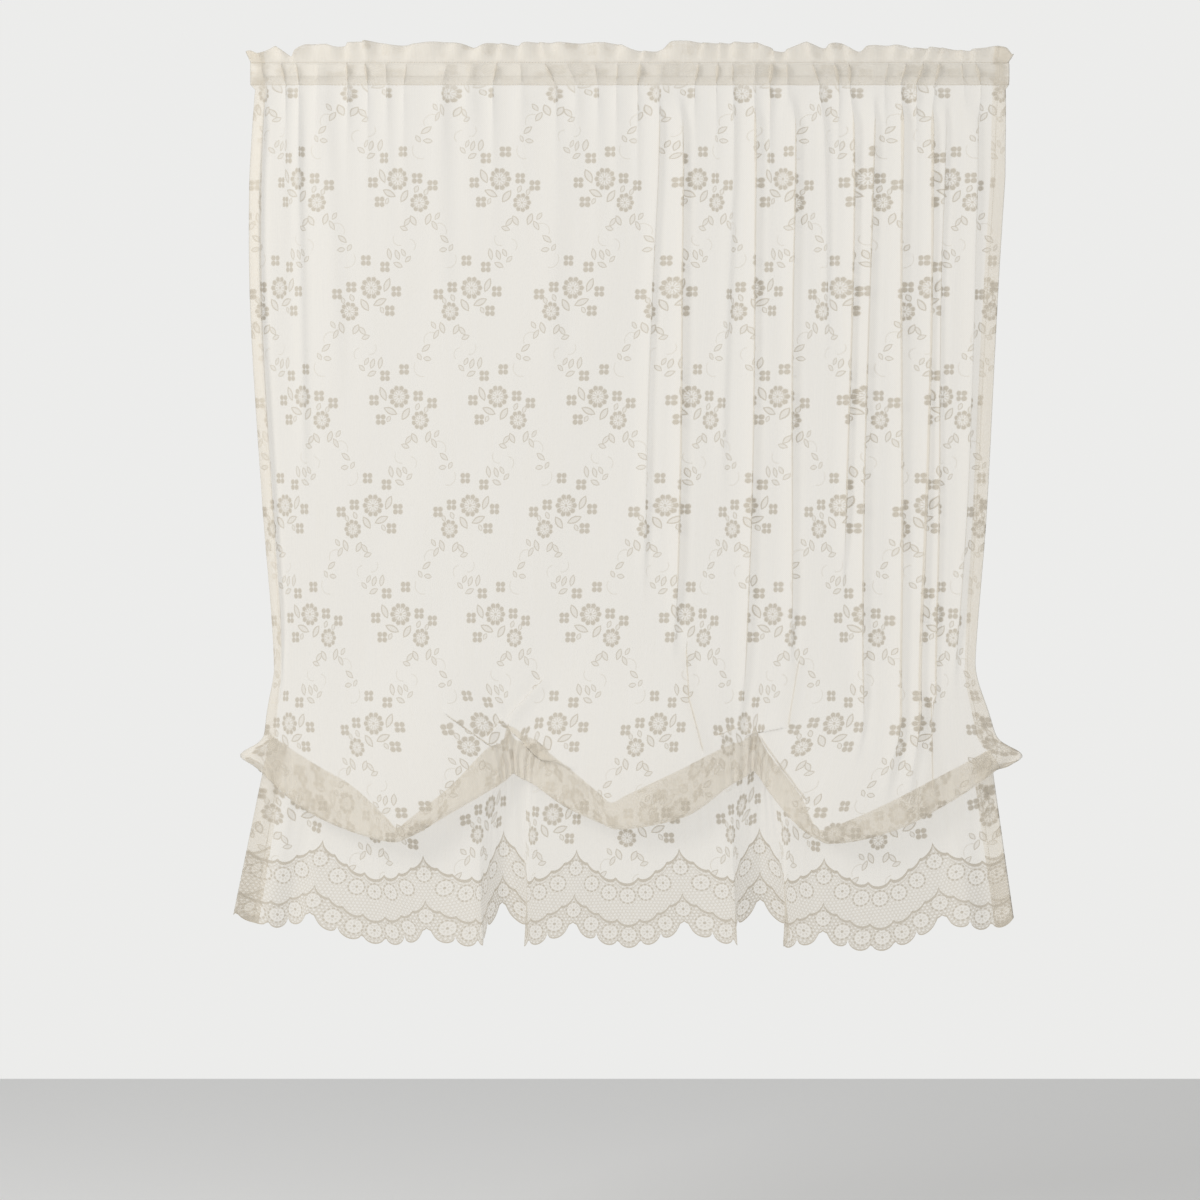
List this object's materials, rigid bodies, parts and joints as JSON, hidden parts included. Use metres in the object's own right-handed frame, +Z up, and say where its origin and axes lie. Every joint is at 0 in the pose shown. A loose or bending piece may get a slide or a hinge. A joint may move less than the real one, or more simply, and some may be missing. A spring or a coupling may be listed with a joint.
{
  "type": "balloon curtain with curtain rod",
  "caption": "Sheer floral lace curtain gathered on a slim flat rod, drawn up by hidden ties into soft swags above a skirt with a scalloped lace hem.",
  "frame": {"origin": "on the wall, midway between the rod's two ends, at the height of the rod's middle", "axes": "+X to the right seen from the room, +Z up, +Y into the wall, so the front faces -Y"},
  "size_m": [1.0945, 0.0877, 1.2734],
  "materials": {
    "lace": "sheer ivory knitted lace, matte",
    "rod_paint": "satin off-white paint"
  },
  "bodies": {
    "root": {"curtain_panel": "lace", "rod": "rod_paint"}
  },
  "joints": []
}
